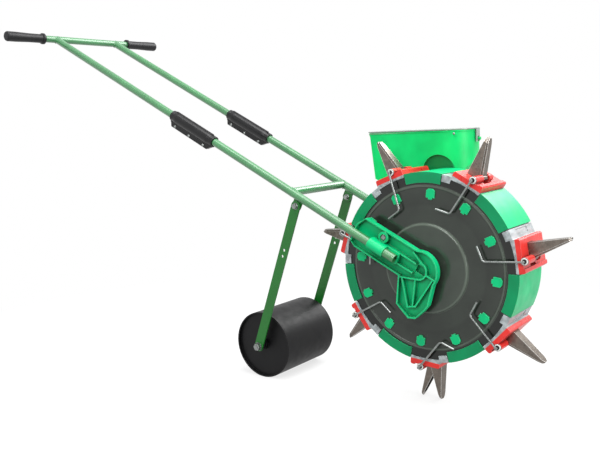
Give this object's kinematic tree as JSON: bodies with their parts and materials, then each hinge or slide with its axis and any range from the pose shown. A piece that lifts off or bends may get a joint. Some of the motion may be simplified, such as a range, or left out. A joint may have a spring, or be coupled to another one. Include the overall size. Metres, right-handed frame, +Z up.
{
  "type": "hand-push dibble wheel seeder",
  "caption": "Hand-push seeder: a wheel with opening planting beaks, a lidded side hopper, a press roller and a long two-tube handle.",
  "frame": {"origin": "on the floor, under the middle of the bounding box", "axes": "+X forward, the way it is pushed; +Y to the left; +Z up"},
  "size_m": [1.6605, 0.611, 1.0338],
  "materials": {
    "sage_paint": "gloss paint on steel tube",
    "dark_green_paint": "paint on flat steel",
    "green_plastic": "moulded, semi-gloss",
    "red_plastic": "moulded, semi-gloss",
    "smoke_plastic": "dark smoky plastic",
    "lid_plastic": "smoky translucent plastic",
    "clear_plastic": "milky clear plastic",
    "black_plastic": "moulded, fine texture",
    "roller_plastic": "moulded, matt",
    "grip_rubber": "matt rubber",
    "beak_steel": "pressed steel sheet",
    "bright_steel": "zinc plated"
  },
  "bodies": {
    "frame": {"handle_bar": "sage_paint", "grip_left": "grip_rubber", "grip_right": "grip_rubber", "upper_tube_left": "sage_paint", "upper_tube_right": "sage_paint", "clamp_left": "black_plastic", "clamp_right": "black_plastic", "lower_tube_left": "sage_paint", "lower_tube_right": "sage_paint", "cross_tube": "sage_paint", "bracket_left": "green_plastic", "bracket_right": "green_plastic", "axle": "bright_steel", "strap_left": "dark_green_paint", "strap_right": "dark_green_paint", "strap_tab_left": "dark_green_paint", "strap_tab_right": "dark_green_paint", "roller_axle": "bright_steel", "hopper": "green_plastic", "hopper_neck": "green_plastic", "lid_pin": "bright_steel"},
    "wheel": {"drum": "smoke_plastic", "disc_left": "smoke_plastic", "disc_right": "smoke_plastic", "hub": "black_plastic", "rim_segments": "green_plastic", "outlet_housings": "clear_plastic", "beak_bases": "red_plastic", "fixed_beaks": "beak_steel", "clips_left": "green_plastic", "clips_right": "green_plastic"},
    "beak_a": {"flap_a": "beak_steel", "lever_a": "bright_steel"},
    "beak_b": {"flap_b": "beak_steel", "lever_b": "bright_steel"},
    "beak_c": {"flap_c": "beak_steel", "lever_c": "bright_steel"},
    "beak_d": {"flap_d": "beak_steel", "lever_d": "bright_steel"},
    "beak_e": {"flap_e": "beak_steel", "lever_e": "bright_steel"},
    "beak_f": {"flap_f": "beak_steel", "lever_f": "bright_steel"},
    "beak_g": {"flap_g": "beak_steel", "lever_g": "bright_steel"},
    "roller": {"roller": "roller_plastic"},
    "lid": {"hopper_lid": "lid_plastic"}
  },
  "joints": [
    {"name": "wheel_spin", "type": "hinge", "parent": "frame", "child": "wheel", "pos_m": [0.49764, 0, 0.34299], "axis": [0, 1, 0], "continuous": true},
    {"name": "beak_a_open", "type": "hinge", "parent": "wheel", "child": "beak_a", "pos_m": [0.40881, 0, 0.5756], "axis": [0, 1, 0], "range_deg": [0, 30], "stiffness_Nm_per_rad": 0.1, "springref_deg": -10},
    {"name": "beak_b_open", "type": "hinge", "parent": "wheel", "child": "beak_b", "pos_m": [0.62413, 0, 0.55747], "axis": [0, 1, 0], "range_deg": [0, 30], "stiffness_Nm_per_rad": 0.1, "springref_deg": -10},
    {"name": "beak_c_open", "type": "hinge", "parent": "wheel", "child": "beak_c", "pos_m": [0.74419, 0, 0.37783], "axis": [0, 1, 0], "range_deg": [0, 30], "stiffness_Nm_per_rad": 0.1, "springref_deg": -10},
    {"name": "beak_d_open", "type": "hinge", "parent": "wheel", "child": "beak_d", "pos_m": [0.6786, 0, 0.17195], "axis": [0, 1, 0], "range_deg": [0, 30], "stiffness_Nm_per_rad": 0.1, "springref_deg": -10},
    {"name": "beak_e_open", "type": "hinge", "parent": "wheel", "child": "beak_e", "pos_m": [0.47674, 0, 0.09487], "axis": [0, 1, 0], "range_deg": [-30, 0], "stiffness_Nm_per_rad": 0.1, "springref_deg": -40},
    {"name": "beak_f_open", "type": "hinge", "parent": "wheel", "child": "beak_f", "pos_m": [0.29062, 0, 0.20462], "axis": [0, 1, 0], "range_deg": [0, 30], "stiffness_Nm_per_rad": 0.1, "springref_deg": -10},
    {"name": "beak_g_open", "type": "hinge", "parent": "wheel", "child": "beak_g", "pos_m": [0.26039, 0, 0.41857], "axis": [0, 1, 0], "range_deg": [0, 30], "stiffness_Nm_per_rad": 0.1, "springref_deg": -10},
    {"name": "roller_spin", "type": "hinge", "parent": "frame", "child": "roller", "pos_m": [-0.00186, 0, 0.093], "axis": [0, 1, 0], "continuous": true},
    {"name": "lid_open", "type": "hinge", "parent": "frame", "child": "lid", "pos_m": [0.25064, 0.15, 0.66499], "axis": [0, -1, 0], "range_deg": [0, 110]}
  ]
}
